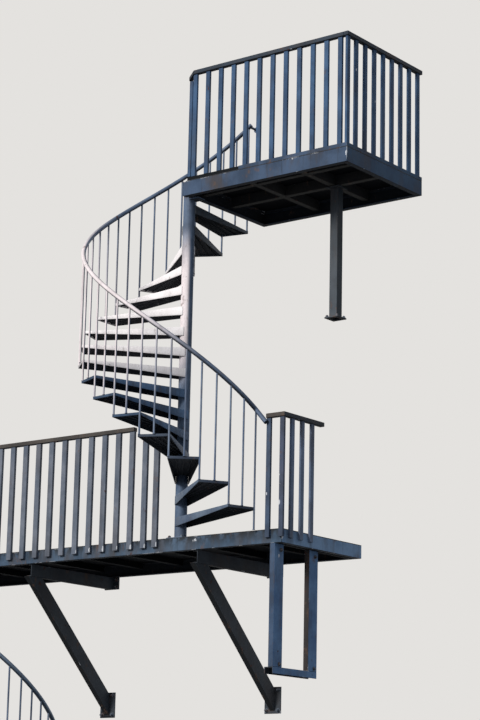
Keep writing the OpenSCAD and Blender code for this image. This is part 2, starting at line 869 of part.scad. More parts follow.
bracket_beam(0);  // bracket_beam_right
bracket_beam(-bracket_gap);  // bracket_beam_mid
bracket_beam(-2 * bracket_gap);  // bracket_beam_left
bracket_strut(0);  // bracket_strut_right
bracket_strut(-bracket_gap);  // bracket_strut_mid
bracket_strut(-2 * bracket_gap);  // bracket_strut_left
ring_side(walk_left, walk_right, walk_ch_z, walk_ch_h, 0);  // walkway_channel_front
ring_side(walk_left, walk_right, walk_ch_z, walk_ch_h, 1);  // walkway_channel_right
ring_side(walk_left, walk_right, walk_ch_z, walk_ch_h, 2);  // walkway_channel_back
ring_side(walk_left, walk_right, walk_ch_z, walk_ch_h, 3);  // walkway_channel_left
walkway_joists();
walkway_deck();
hanging_leg_front();
hanging_leg_back();
hanging_bar();
platform_channel_front();
ring_side(plat_left, plat_right, plat_ch_z, plat_ch_h, 1);  // platform_channel_right
ring_side(plat_left, plat_right, plat_ch_z, plat_ch_h, 2);  // platform_channel_back
platform_channel_left();
platform_beams_cross();
platform_beams_long();
platform_deck();
platform_kick_front();
platform_kick_side();
platform_post();
column_upper();
treads_upper(1, blue_treads);  // treads_upper_first
treads_upper(blue_treads + 1, upper_risers - 1);  // treads_upper_last
balusters_upper();
handrail_upper();
handrail_hook();
column_lower();
treads_lower(1, 8);  // treads_lower_top
treads_lower(9, 15);  // treads_lower_mid
treads_lower(16, lower_risers - 1);  // treads_lower_foot
balusters_lower();
handrail_lower();
railing_platform_front();
railing_platform_side();
railing_walkway_front();
railing_walkway_right();
railing_walkway_right_side();
railing_walkway_left();
railing_walkway_left_side();
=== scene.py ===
import math

import bmesh
import bpy
from mathutils import Matrix, Vector
from mathutils.bvhtree import BVHTree


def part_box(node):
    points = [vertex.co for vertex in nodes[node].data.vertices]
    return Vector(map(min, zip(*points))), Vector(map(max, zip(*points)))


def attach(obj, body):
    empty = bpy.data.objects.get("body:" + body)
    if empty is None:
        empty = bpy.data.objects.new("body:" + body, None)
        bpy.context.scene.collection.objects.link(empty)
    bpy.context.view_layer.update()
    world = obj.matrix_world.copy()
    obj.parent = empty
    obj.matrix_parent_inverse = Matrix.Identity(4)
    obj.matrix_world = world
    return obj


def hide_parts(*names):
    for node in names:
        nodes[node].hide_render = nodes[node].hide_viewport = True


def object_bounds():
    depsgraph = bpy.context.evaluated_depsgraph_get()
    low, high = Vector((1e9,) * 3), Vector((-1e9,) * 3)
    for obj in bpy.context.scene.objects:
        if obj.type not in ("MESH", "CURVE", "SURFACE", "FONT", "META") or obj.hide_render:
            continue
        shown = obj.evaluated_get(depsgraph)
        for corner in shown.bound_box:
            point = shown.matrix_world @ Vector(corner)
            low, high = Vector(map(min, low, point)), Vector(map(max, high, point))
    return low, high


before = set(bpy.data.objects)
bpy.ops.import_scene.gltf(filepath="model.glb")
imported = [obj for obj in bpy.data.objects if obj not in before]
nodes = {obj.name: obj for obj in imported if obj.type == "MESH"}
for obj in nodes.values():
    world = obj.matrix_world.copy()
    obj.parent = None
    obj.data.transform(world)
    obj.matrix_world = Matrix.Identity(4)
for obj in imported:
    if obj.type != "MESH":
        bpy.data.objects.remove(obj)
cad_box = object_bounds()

scene = bpy.context.scene


# Brackets: three hot-rolled channels that carry the walkway, each held up by a sloping
# channel strut. They are welded to anchor plates and brushed with grey-blue alkyd paint.
def linear(code):
    """Linear colour from an sRGB hex value such as 5a6b80."""
    parts = [int(code[i:i + 2], 16) / 255 for i in (0, 2, 4)]
    return (*(c / 12.92 if c < 0.04045 else ((c + 0.055) / 1.055) ** 2.4 for c in parts), 1.0)


def add(tree, kind, inputs=None, **settings):
    """A node with its settings. An input, by name or place, is given a value, another
    node's output, or a node, which stands for its first output."""
    node = tree.nodes.new(kind)
    for key, value in settings.items():
        setattr(node, key, value)
    for key, value in (inputs or {}).items():
        if isinstance(value, bpy.types.Node):
            value = value.outputs[0]
        if isinstance(value, bpy.types.NodeSocket):
            tree.links.new(value, node.inputs[key])
        else:
            node.inputs[key].default_value = value
    return node


def per_metre(millimetres):
    """Texture scale at which one cell of a pattern measures this many millimetres."""
    return 1000.0 / millimetres


def weathered_paint(name, fresh, faded, grime_and_shade="12151a", rust=0.5, chips=0.5, gloss=0.62,
                    dust=0.4, stain=0.5, shine=0.2, worn_at=(), knocks=(), rusty_round=None,
                    painted_sunlight=None, trodden=None):
    """Brushed alkyd paint on steel after years outdoors, built up coat by coat. The
    eye sees a satin skin that has faded in patches, brown stains, runs of dirt, dust
    on ledges, near-black undersides and hollows of soot with painted shade, dull rust
    that comes through, and pale chips of the undercoat, most of them along edges,
    between the heights in worn_at and at knocks. A weld has burnt the upright line
    rusty_round to rust. Dirt from shoes lies between the heights in trodden, and painted
    sunlight lies in a warm white on the faces turned to the sun round a place. Knocks
    and that sunlit place are given as (point, radius)."""
    material = bpy.data.materials.new(name)
    material.use_nodes = True
    tree = material.node_tree
    shader = tree.nodes["Principled BSDF"]
    place = add(tree, "ShaderNodeTexCoord").outputs["Object"]
    height = add(tree, "ShaderNodeSeparateXYZ", {0: place}).outputs["Z"]
    normal = add(tree, "ShaderNodeNewGeometry").outputs["Normal"]
    facing = add(tree, "ShaderNodeSeparateXYZ", {0: normal}).outputs["Z"]
    ledge = add(tree, "ShaderNodeMapRange", {0: facing, 1: 0.55, 2: 0.9})
    # soot and painted shade: faces that look down or at steel close by are darkened
    below = add(tree, "ShaderNodeMapRange", {0: facing, 1: -0.1, 2: -0.6})
    inner = add(tree, "ShaderNodeAttribute", attribute_name="inner").outputs["Fac"]
    soot_and_shade = add(tree, "ShaderNodeMath", {0: below, 1: inner}, operation="ADD", use_clamp=True)
    sunny = muddy = None
    # painted sunlight: round the given place, the faces turned towards the sun take a warm white
    if painted_sunlight:
        middle, radius = painted_sunlight
        far = add(tree, "ShaderNodeVectorMath", {0: place, 1: middle}, operation="DISTANCE")
        near = add(tree, "ShaderNodeMapRange", {0: far.outputs["Value"], 1: radius,
            2: radius * 0.4}, interpolation_type="SMOOTHSTEP")
        to_sun = add(tree, "ShaderNodeVectorMath", {0: normal, 1: (-0.66, -0.72, 0.2)},
            operation="DOT_PRODUCT")
        lit = add(tree, "ShaderNodeMapRange", {0: to_sun.outputs["Value"], 1: -0.38, 2: 0.15},
            interpolation_type="SMOOTHSTEP")
        sunny = add(tree, "ShaderNodeMath", {0: near, 1: lit}, operation="MULTIPLY")
    if trodden:
        muddy = add(tree, "ShaderNodeMapRange", {0: height, 1: trodden[0], 2: trodden[1]})
    edge = add(tree, "ShaderNodeAttribute", attribute_name="edge").outputs["Fac"]
    burnt = add(tree, "ShaderNodeMath", {0: edge, 1: 0.05}, operation="MULTIPLY")
    knocked = add(tree, "ShaderNodeMath", {0: edge, 1: 0.1}, operation="MULTIPLY")
    if rusty_round:
        across = add(tree, "ShaderNodeMapping", {"Vector": place,
            "Location": (-rusty_round.x, -rusty_round.y, 0.0), "Scale": (1.0, 1.0, 0.0)})
        far = add(tree, "ShaderNodeVectorMath", {0: across}, operation="LENGTH")
        near = add(tree, "ShaderNodeMapRange", {0: far.outputs["Value"], 1: 0.06, 2: 0.25, 3: 0.02,
            4: 0.0})
        burnt = add(tree, "ShaderNodeMath", {0: burnt, 1: near}, operation="ADD")
    spots = []
    for low, high in worn_at:
        off = add(tree, "ShaderNodeMath", {0: height, 1: (low + high) / 2}, operation="SUBTRACT")
        far = add(tree, "ShaderNodeMath", {0: off}, operation="ABSOLUTE")
        spots.append((far, (high - low) / 2, (high - low) / 5, 0.07))
    squat = add(tree, "ShaderNodeVectorMath", {0: place, 1: (1.0, 1.0, 0.4)}, operation="MULTIPLY")
    for (x, y, z), radius in knocks:
        far = add(tree, "ShaderNodeVectorMath", {0: squat, 1: (x, y, z * 0.4)},
            operation="DISTANCE").outputs["Value"]
        spots.append((far, radius, 0.0, 0.33))
    for far, rim, core, share in spots:
        near = add(tree, "ShaderNodeMapRange", {0: far, 1: rim, 2: core, 4: share})
        knocked = add(tree, "ShaderNodeMath", {0: knocked, 1: near}, operation="ADD")

    # The size in mm of the pattern, how far it is drawn out down the steel, where its
    # ramp begins and ends, its strength, its colour, its roughness and its lift in mm.
    # Real brush marks lie 1 to 2 mm apart and the grain of the skin is finer still.
    # Both are drawn coarser, at 12 and 4 mm, because they wouldn't show otherwise.
    coats = (
        ("faded patches", 300, 1.0, 0.36, 0.66, 1.0, faded, gloss, 0.0, {}),
        # painted sunlight, a warm white laid only on the sunlit faces
        ("painted sunlight", 120, 0.5, 0.10, 0.40, 0.97, "eee2e1", 0.6, 0.0, {"only": sunny}),
        ("brush marks", 12, 0.5, 0.30, 0.75, 0.15, "20262e", gloss, 0.25, {}),
        ("brown stains", 200, 0.3, 0.46, 0.66, stain, "423b37", 0.7, 0.0, {}),
        ("runs of dirt", 18, 0.07, 0.52, 0.80, stain, grime_and_shade, 0.6, 0.1, {}),
        ("dust", 60, 1.0, 0.25, 0.70, dust, "7a726b", 0.85, 0.1, {"only": ledge}),
        ("trodden dirt", 90, 0.6, 0.42, 0.54, 0.85, "262829", 0.85, 0.2, {"only": muddy}),
        # soot with painted shade, near black on undersides and in hollows
        ("soot and painted shade", 160, 1.0, 0.10, 0.40, 0.96, grime_and_shade, 0.85, 0.2, {"only": soot_and_shade}),
        ("rust stain", 80, 0.6, 0.64 - 0.12 * rust, 0.76 - 0.12 * rust, 0.6, "5c4638", 0.7, 0.0,
         {"more": burnt}),
        ("rust", 80, 0.8, 0.71 - 0.12 * rust, 0.75 - 0.12 * rust, 0.85, "47302a", 0.9, 0.8,
         {"more": burnt}),
        ("chips", 110, 1.0, 0.77 - 0.12 * chips, 0.785 - 0.12 * chips, 0.9, "bfc2c6", 0.6, -0.5,
         {"more": knocked}))
    colour, rough, relief = linear(fresh), gloss, 0.0
    for seed, (coat, size, drawn, low, high, strength, code, dull, lift, limits) in (
            enumerate(coats)):
        if limits.get("only", place) is None:
            continue
        long = add(tree, "ShaderNodeMapping", {"Vector": place, "Scale": (1.0, 1.0, drawn)})
        pattern = add(tree, "ShaderNodeTexNoise", {"Vector": long, "W": 3.0 * seed,
            "Scale": per_metre(size), "Detail": 6.0, "Roughness": 0.62}, noise_dimensions="4D",
            label=coat)
        if "more" in limits:
            pattern = add(tree, "ShaderNodeMath", {0: pattern, 1: limits["more"]}, operation="ADD")
        amount = add(tree, "ShaderNodeMapRange", {0: pattern, 1: low, 2: high, 4: strength},
            interpolation_type="SMOOTHSTEP")
        if "only" in limits:
            amount = add(tree, "ShaderNodeMath", {0: amount, 1: limits["only"]},
                operation="MULTIPLY")
        colour = add(tree, "ShaderNodeMix", {0: amount, 6: colour, 7: linear(code)},
            data_type="RGBA").outputs[2]
        rough = add(tree, "ShaderNodeMix", {0: amount, 2: rough, 3: dull}).outputs[0]
        if lift:
            relief = add(tree, "ShaderNodeMath", {0: amount, 1: lift, 2: relief},
                operation="MULTIPLY_ADD")
    grain = add(tree, "ShaderNodeTexNoise", {"Vector": place, "Scale": per_metre(4),
        "Detail": 3.0}, label="brushed skin")
    relief = add(tree, "ShaderNodeMath", {0: grain, 1: 0.3, 2: relief}, operation="MULTIPLY_ADD")
    bump = add(tree, "ShaderNodeBump", {"Strength": 0.6, "Distance": 0.001, "Height": relief})
    tree.links.new(colour, shader.inputs["Base Color"])
    tree.links.new(rough, shader.inputs["Roughness"])
    tree.links.new(bump.outputs[0], shader.inputs["Normal"])
    shader.inputs["IOR"].default_value = 1.5
    shader.inputs["Specular IOR Level"].default_value = shine
    return material


corners, sides_of = [], []
for node in nodes.values():
    first_corner = len(corners)
    corners += [v.co.copy() for v in node.data.vertices]
    sides_of += [[first_corner + i for i in face.vertices] for face in node.data.polygons]
steel = BVHTree.FromPolygons(corners, sides_of)
merge_gap = 1e-5
open_reach = 0.12


def softened(name, edge, *finishes, reach=open_reach):
    """A CAD piece copied with its edges rounded, as rolled or folded steel has them."""
    shape = rounded_off(cad_form(name), edge, reach)
    return new_piece(mesh_of(name + "_steel", shape), *finishes)


def cad_form(name):
    """A CAD node's loose triangles, joined into one form."""
    shape = bmesh.new()
    shape.from_mesh(nodes[name].data)
    bmesh.ops.remove_doubles(shape, verts=shape.verts, dist=merge_gap)
    return shape


def rounded_off(shape, edge, reach):
    """Clears the lines from a form's flats, then rounds it and marks its wear, and its soot and
    painted shade.
    """
    bmesh.ops.dissolve_limit(shape, angle_limit=math.radians(0.5), verts=shape.verts,
                             edges=shape.edges)
    finish_edges(shape, edge)
    mark_inner(shape, reach)
    return shape


def mesh_of(name, shape):
    """The mesh of a finished form."""
    mesh = bpy.data.meshes.new(name)
    shape.to_mesh(mesh)
    shape.free()
    return mesh


def mark_inner(shape, reach):
    """Marks faces that mostly look at other steel within reach, where soot gathers and shade
    falls; the paint darkens them as soot and painted shade.
    """
    mark = shape.faces.layers.float.new("inner")
    for face in shape.faces:
        middle = face.calc_center_median()
        places = [middle] + [middle.lerp(v.co, 0.6) for v in face.verts]
        closed = sum(steel.ray_cast(at + face.normal * 0.004, face.normal, reach)[0] is not None
                     for at in places)
        face[mark] = 1.0 if closed > len(places) / 2 else 0.0


def finish_edges(shape, edge):
    """Rounds the edges that turn by more than 28 degrees, marks them for wear and
    keeps the flats crisp."""
    mark = shape.faces.layers.float.new("edge")
    sharp = [e for e in shape.edges if e.is_manifold and e.calc_face_angle() > math.radians(28)]
    rounded = set(bmesh.ops.bevel(shape, geom=sharp, offset=edge, segments=2, profile=0.5,
                                  affect="EDGES", clamp_overlap=True, material=-1)["faces"])
    for face in shape.faces:
        face[mark] = 1.0 if face in rounded else 0.0
        face.smooth = True
    for line in shape.edges:
        meets = {face in rounded for face in line.link_faces}
        line.smooth = len(meets) == 1 and line.calc_face_angle(0.0) < math.radians(50)


def new_piece(mesh, *finishes):
    """An object at the origin for a mesh, with its materials."""
    mesh.materials.clear()
    for finish in finishes:
        mesh.materials.append(finish)
    piece = bpy.data.objects.new(mesh.name, mesh)
    scene.collection.objects.link(piece)
    return piece


def placed(piece, slot, *replaced):
    """Fixes a finished piece to the body and hides the CAD nodes it stands for."""
    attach(piece, "root")
    if replaced:
        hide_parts(*replaced)


# painted shade: matt and nearly black, for the deep shade under the walkway, so that the brackets
# read as dark shapes
bracket_paint = weathered_paint("alkyd_in_painted_shade_on_wall_brackets", "2a3037", "3d444b",
    grime_and_shade="0d1013", chips=0.3, gloss=0.6, stain=0.4)
rolled_edge = 0.003
for side in ("right", "mid", "left"):
    for part in ("bracket_beam_", "bracket_strut_"):
        placed(softened(part + side, rolled_edge, bracket_paint), "frame_paint", part + side)

# Walkway frame: four hot-rolled channels, welded at the corners, with square tubes
# welded across between them, under grey-blue alkyd paint that the sun has dulled.

# deep blue-grey with brown runs, and white chips on the platform's lower corner
frame_paint = weathered_paint("grey_blue_alkyd_on_rolled_steel", "26384e", "3d5069", chips=0.3,
    stain=0.75, worn_at=((3.52, 3.66),), knocks=(((1.64, -1.25, 3.53), 0.03),))
# greener and lighter, brown with dirt from shoes along the upper half
front_paint = weathered_paint("grey_green_alkyd_on_long_channel", "324558", "4c5f73", chips=0.35,
    stain=0.6, trodden=(0.08, 0.17), worn_at=((0.11, 0.20), (0.055, 0.077)),
    knocks=(((0.985, -1.25, 0.13), 0.03),))
# painted skylight: a pale blue for the right faces that the sky lights, chipped white at the front
# corner
end_paint = weathered_paint("pale_blue_alkyd_with_painted_skylight_on_end_channels", "5f7d9c", "7a96b4", rust=0.45,
    chips=0.35, stain=0.45, knocks=(((0.990, -1.240, 0.097), 0.03), ((0.990, -1.243, 0.15), 0.03)))
# soot with painted shade: dead black without any gloss, so that the underside shows hardly any
# form
under_paint = weathered_paint("black_soot_and_painted_shade_on_undersides", "0b0d10", "12151a", grime_and_shade="06070a",
    rust=0.2, chips=0.0, gloss=0.9, stain=0.0, dust=0.0, shine=0.05)
for name, reach, finish in (
        ("walkway_channel_front", 1.2, front_paint), ("walkway_channel_right", 0.7, end_paint),
        ("walkway_channel_back", 1.2, frame_paint), ("walkway_channel_left", 0.7, end_paint),
        ("walkway_joists", 0.7, under_paint)):
    placed(softened(name, rolled_edge, finish, reach=reach), "frame_paint", name)


# Deck plates: hot-rolled chequer plate, 6 mm thick with raised lozenges against
# slipping, stitch-welded on the channels and painted dark grey, worn by shoes.
def tree_with(name, **sizes):
    """A geometry tree with named inputs for its sizes, and its two end nodes."""
    tree = bpy.data.node_groups.new(name, "GeometryNodeTree")
    kinds = {int: "Int", float: "Float", tuple: "Vector"}
    tree.interface.new_socket("Geometry", in_out="INPUT", socket_type="NodeSocketGeometry")
    for key, value in sizes.items():
        socket = tree.interface.new_socket(
            key, in_out="INPUT", socket_type="NodeSocket" + kinds[type(value)])
        socket.default_value = value
    tree.interface.new_socket("Finish", in_out="INPUT", socket_type="NodeSocketMaterial")
    tree.interface.new_socket("Geometry", in_out="OUTPUT", socket_type="NodeSocketGeometry")
    return tree, add(tree, "NodeGroupInput").outputs, add(tree, "NodeGroupOutput")


def close_tree(tree, shape, given, end):
    """Ends a tree with real geometry in one finish."""
    real = add(tree, "GeometryNodeRealizeInstances", {0: shape})
    done = add(tree, "GeometryNodeSetMaterial", {"Geometry": real, "Material": given["Finish"]})
    tree.links.new(done.outputs[0], end.inputs[0])
    return tree


def grown(name, mesh, tree, finish, **sizes):
    """The plain mesh that a geometry tree makes from a start mesh."""
    start = bpy.data.objects.new(name + "_start", mesh)
    scene.collection.objects.link(start)
    rule = start.modifiers.new("rule", "NODES")
    rule.node_group = tree
    sockets = {s.name: s.identifier for s in tree.interface.items_tree if s.in_out == "INPUT"}
    for key, value in dict(sizes, Finish=finish).items():
        rule[sockets[key]] = value
    graph = bpy.context.evaluated_depsgraph_get()
    made = bpy.data.meshes.new_from_object(start.evaluated_get(graph), depsgraph=graph)
    made.name = name
    made.set_sharp_from_angle(angle=math.radians(35))
    bpy.data.objects.remove(start)
    return new_piece(made, finish)


def point_mesh(points):
    """Single points as a mesh."""
    mesh = bpy.data.meshes.new("points")
    mesh.from_pydata(points, [], [])
    return mesh


def lozenge_tree():
    """Rows of low lozenges, each turned a right angle to its neighbours."""
    tree, given, end = tree_with("chequer_lozenges", Columns=40, Rows=40, Pitch=0.03,
                                 Length=0.026, Width=0.007, Height=0.0018)
    wide, deep = (add(tree, "ShaderNodeMath", {
        0: add(tree, "ShaderNodeMath", {0: given[key], 1: 1.0}, operation="SUBTRACT"),
        1: given["Pitch"]}, operation="MULTIPLY") for key in ("Columns", "Rows"))
    grid = add(tree, "GeometryNodeMeshGrid", {"Size X": wide, "Size Y": deep,
        "Vertices X": given["Columns"], "Vertices Y": given["Rows"]})
    at = add(tree, "GeometryNodeInputPosition")
    corner_at = add(tree, "ShaderNodeCombineXYZ", {"X": wide, "Y": deep})
    from_corner = add(tree, "ShaderNodeVectorMath", {0: corner_at, 1: (0.5, 0.5, 0.0), 2: at},
        operation="MULTIPLY_ADD")
    steps = add(tree, "ShaderNodeSeparateXYZ", {0: from_corner}).outputs
    both = add(tree, "ShaderNodeMath", {0: steps["X"], 1: steps["Y"]})
    count = add(tree, "ShaderNodeMath", {0: both, 1: given["Pitch"]}, operation="DIVIDE")
    whole = add(tree, "ShaderNodeMath", {0: count}, operation="ROUND")
    odd = add(tree, "ShaderNodeMath", {0: whole, 1: 2.0}, operation="FLOORED_MODULO")
    turn = add(tree, "ShaderNodeMath", {0: odd, 1: math.pi / 2, 2: math.pi / 4},
        operation="MULTIPLY_ADD")
    spin = add(tree, "ShaderNodeCombineXYZ", {"Z": turn})
    drum = add(tree, "GeometryNodeMeshCone", {"Vertices": 6, "Radius Top": 0.36,
        "Radius Bottom": 0.5, "Depth": 1.0})
    size = add(tree, "ShaderNodeCombineXYZ", {"X": given["Length"], "Y": given["Width"],
        "Z": given["Height"]})
    lozenge = add(tree, "GeometryNodeTransform", {"Geometry": drum.outputs["Mesh"], "Scale": size})
    raised = add(tree, "GeometryNodeInstanceOnPoints", {"Points": grid.outputs["Mesh"],
        "Instance": lozenge, "Rotation": spin})
    return close_tree(tree, raised, given, end)


def shaded_side_finish(piece, side, least=0.7):
    """Gives the faces that look towards one side the piece's second material, a darker paint that
    stands for the shade on that side.
    """
    for face in piece.data.polygons:
        face.material_index = int(face.normal.dot(side) > least)
    return piece


# dark grey, dull and dusty where people walk
deck_paint = weathered_paint("dark_paint_on_chequer_plate", "2c3238", "3d444b", rust=0.6,
    chips=0.1, gloss=0.5)
# the crowns are rubbed paler and smoother than the plate between them
crown_paint = weathered_paint("rubbed_paint_on_lozenge_crowns", "4b5157", "70757a", rust=0.6,
    chips=0.6, gloss=0.42, dust=0.2)
plate_edge = 0.0015
lozenges = lozenge_tree()
pitch = 0.030
sunk = 0.0006
downward = Vector((0, 0, -1))
for name in ("walkway_deck", "platform_deck"):
    # the plate's downward faces take the black under paint, soot with painted shade
    plate = shaded_side_finish(softened(name, plate_edge, deck_paint, under_paint), downward, 0.5)
    placed(plate, "deck_paint", name)
    low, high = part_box(name)
    columns, rows = (int((high[i] - low[i] - pitch) / pitch) + 1 for i in (0, 1))
    rough_skin = grown(name + "_lozenges", point_mesh([(0, 0, 0)]), lozenges, crown_paint,
                       Columns=columns, Rows=rows, Pitch=pitch)
    rough_skin.data.transform(Matrix.Translation(
        ((low[0] + high[0]) / 2, (low[1] + high[1]) / 2, high[2] - sunk)))
    placed(rough_skin, "deck_paint")

# Hanging frame: two tube legs hang from the walkway's right end and carry a channel
# between their feet. Bolted at the top, welded at the foot, under steel-blue alkyd paint.

# painted skylight: a clear steel blue on the legs' sides, which the sky lights, chipped white at
# the top
hanging_paint = weathered_paint("steel_blue_alkyd_with_painted_skylight_on_square_tube", "45648a", "5f81a6", stain=0.4,
    knocks=(((0.916, -1.188, -0.048), 0.022),))
# painted shade on the back leg's front: dark brown, with rust that has come through all over
rust_and_shade_paint = weathered_paint("dark_alkyd_rusted_through_in_painted_shade_on_tube", "1d1b1b", "2a2524", rust=0.9,
    chips=0.0, stain=0.3)
frontward = Vector((0, -1, 0))
# the faces that look to the front take the darker paint, as painted shade, and the sides the lit
# steel blue
for name, front in (("hanging_leg_front", frame_paint), ("hanging_leg_back", rust_and_shade_paint),
                    ("hanging_bar", bracket_paint)):
    placed(shaded_side_finish(softened(name, rolled_edge, hanging_paint, front), frontward),
           "frame_paint", name)

# Platform frame and post: deep rolled channels with cross beams and lengthwise beams,
# kick plates welded on top of them, and a square tube post with plates at its ends.

# painted shade: dark blue on the sides away from the light, cleaner than the front, with a white
# chip at the corner
shade_paint = weathered_paint("dark_blue_alkyd_in_painted_shade_on_edge_channels", "1d3550", "2b4863", rust=0.35,
    chips=0.2, stain=0.45, knocks=(((1.648, -1.247, 3.55), 0.03),))
# soot and painted shade: a brown-black, in which the beams only just show
soot_and_shade_paint = weathered_paint("sooted_alkyd_in_painted_shade_under_the_deck", "15161a", "201f1e", grime_and_shade="12110f",
    rust=0.4, chips=0.0, gloss=0.7, stain=0.0, dust=0.0)
# the post's front is a dusty grey, its right side a bluish black as painted shade
post_paint = weathered_paint("dusty_grey_alkyd_on_square_post", "393f45", "4b5157", rust=0.4,
    chips=0.1, stain=0.7)
shaded_paint = weathered_paint("blue_black_alkyd_in_painted_shade_on_post_side", "1c252d", "2b353e", rust=0.3,
    chips=0.1)
frame_reach = 0.75
for part, edge, reach, finish in (
        ("channel_front", rolled_edge, frame_reach, frame_paint),
        ("channel_right", rolled_edge, frame_reach, shade_paint),
        ("channel_back", rolled_edge, frame_reach, shade_paint),
        ("channel_left", rolled_edge, frame_reach, frame_paint),
        ("beams_cross", rolled_edge, open_reach, soot_and_shade_paint),
        ("beams_long", rolled_edge, open_reach, soot_and_shade_paint),
        ("kick_front", plate_edge, open_reach, frame_paint),
        ("kick_side", plate_edge, open_reach, shade_paint)):
    name = "platform_" + part
    placed(softened(name, edge, finish, reach=reach), "frame_paint", name)
rightward = Vector((1, 0, 0))
placed(shaded_side_finish(softened("platform_post", rolled_edge, post_paint, shaded_paint),
                     rightward), "frame_paint", "platform_post")

# Columns: seamless steel tubes, 114 mm across, with welded foot plates, head plates
# and a cap, under grey-blue alkyd paint.

# painted sunlight: a warm white on the side turned to the sun, round the middle of the upper
# column
column_paint = weathered_paint("grey_alkyd_with_painted_sunlight_on_tube", "425369", "64768e", rust=0.4,
    grime_and_shade="1b2027", chips=0.25, stain=0.3, painted_sunlight=((-0.277, -1.110, 2.400), 0.84))
cap_height = 0.016
for name in ("column_upper", "column_lower"):
    tube = softened(name, plate_edge, column_paint, frame_paint)
    for face in tube.data.polygons:
        if face.center.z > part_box(name)[1].z - cap_height:
            face.material_index = 1
    placed(tube, "pale_paint", name)


# Treads: each is folded and welded from 6 mm steel plate, a tapered top with two
# cheeks, an end plate and three ribs below, coped round the column and welded to it.
def lowest_solid(shape):
    """Takes away all of a form but its lowest separate solid."""
    start = min(shape.verts, key=lambda v: v.co.z)
    found, edge_of = {start}, [start]
    while edge_of:
        for link in edge_of.pop().link_edges:
            for v in link.verts:
                if v not in found:
                    found.add(v)
                    edge_of.append(v)
    bmesh.ops.delete(shape, geom=[v for v in shape.verts if v not in found], context="VERTS")
    return shape


def winding_tree():
    """Repeats a piece up a winding flight: it turns and rises by one step each time."""
    tree, given, end = tree_with("winding_flight", Count=8, Riser=0.2, Turn=16.0, First=0.0,
                                 Centre=(0.0, 0.0, 0.0))
    index = add(tree, "GeometryNodeInputIndex")
    rise = add(tree, "ShaderNodeMath", {0: index, 1: given["Riser"]}, operation="MULTIPLY")
    lift = add(tree, "ShaderNodeCombineXYZ", {"Z": rise})
    at = add(tree, "ShaderNodeVectorMath", {0: lift, 1: given["Centre"]})
    points = add(tree, "GeometryNodePoints", {"Count": given["Count"], "Position": at})
    swing = add(tree, "ShaderNodeMath", {0: index, 1: given["Turn"], 2: given["First"]},
        operation="MULTIPLY_ADD")
    angle = add(tree, "ShaderNodeMath", {0: swing}, operation="RADIANS")
    spin = add(tree, "ShaderNodeCombineXYZ", {"Z": angle})
    steps = add(tree, "GeometryNodeInstanceOnPoints", {"Points": points,
        "Instance": given["Geometry"], "Rotation": spin})
    return close_tree(tree, steps, given, end)


riser = 0.2015
tread_turn = 16.03
walk_top = 0.186
upper_centre = Vector((-0.27745, -1.110, walk_top))
lower_centre = Vector((-2.853, -1.30745, walk_top))
upper_first = -17.9
lower_top = -169.5
upper_count = 16
lower_count = 22
lower_foot = lower_centre - Vector((0, 0, riser * (lower_count + 1)))
lower_first = lower_top + (lower_count - 1) * tread_turn
upper, lower = (upper_centre, upper_first), (lower_foot, lower_first)
winding = winding_tree()

# painted shade: dark slate blue on the lowest treads and the lower flight, steel blue above them
tread_dark = weathered_paint("dark_blue_alkyd_in_painted_shade_on_folded_plate", "4b596e", "657384", rust=0.4,
    chips=0.2, stain=0.35)
tread_blue = weathered_paint("steel_blue_alkyd_in_painted_shade_on_folded_plate", "3c5470", "5e7da0", rust=0.35,
    chips=0.2)
# painted sunlight: the treads in the sun are almost white, with rust round the weld at the column
tread_white = weathered_paint("painted_sunlit_white_on_folded_plate", "f2ebe9", "faf5f3", grime_and_shade="1c2129",
    rust=0.35, chips=0.0, stain=0.1, dust=0.15, rusty_round=upper_centre)
# painted shade: a dull dark grey where the platform shades the top treads
tread_grey = weathered_paint("grey_alkyd_in_platform_shade_on_folded_plate", "38424c", "4a5561", chips=0.1)
tread_edge = 0.0018
tread_reach = 0.15
tread_shape = rounded_off(lowest_solid(cad_form("treads_upper_first")), tread_edge,
                          tread_reach)
soot = tread_shape.faces.layers.float["inner"]
rib_depth = max(v.co.z for v in tread_shape.verts) - 0.03
tread_out = Vector((math.cos(math.radians(upper_first)), math.sin(math.radians(upper_first)), 0))
for face in tread_shape.faces:
    # painted light and shade: the feet of cheeks and ribs are kept lighter, as lit from below,
    # and the end plates are half darkened with soot and painted shade
    if face.normal.z < -0.9 and face.calc_center_median().z < rib_depth:
        face[soot] = -0.3
    elif face.normal.dot(tread_out) > 0.95:
        face[soot] = 0.55
tread_shape.transform(Matrix.Rotation(math.radians(-upper_first), 4, "Z")
                      @ Matrix.Translation(-(upper_centre + Vector((0, 0, riser)))))
tread_mesh = mesh_of("tread", tread_shape)


def flight(name, mesh, start, count, below, finish):
    """Part of a flight whose lowest piece has `below` pieces under it."""
    centre, first = start
    return grown(name, mesh, winding, finish, Count=count, Riser=riser, Turn=-tread_turn,
                 First=first - below * tread_turn,
                 Centre=tuple(centre + Vector((0, 0, riser * (below + 1)))))


# lit and shaded copies of one paint: painted shade on the lowest seven treads, the top two and the
# lower flight, painted sunlight on the seven between
for name, start, below, count, finish, slot, replaced in (
        ("treads_upper_dark", upper, 0, 4, tread_dark, "blue_paint", ["treads_upper_first"]),
        ("treads_upper_blue", upper, 4, 3, tread_blue, "blue_paint", []),
        ("treads_upper_sunlit", upper, 7, 7, tread_white, "pale_paint", ["treads_upper_last"]),
        ("treads_upper_grey", upper, 14, 2, tread_grey, "pale_paint", []),
        ("treads_lower_blue", lower, 0, lower_count, tread_dark, "blue_paint",
         ["treads_lower_top", "treads_lower_mid", "treads_lower_foot"])):
    placed(flight(name, tread_mesh, start, count, below, finish), slot, *replaced)

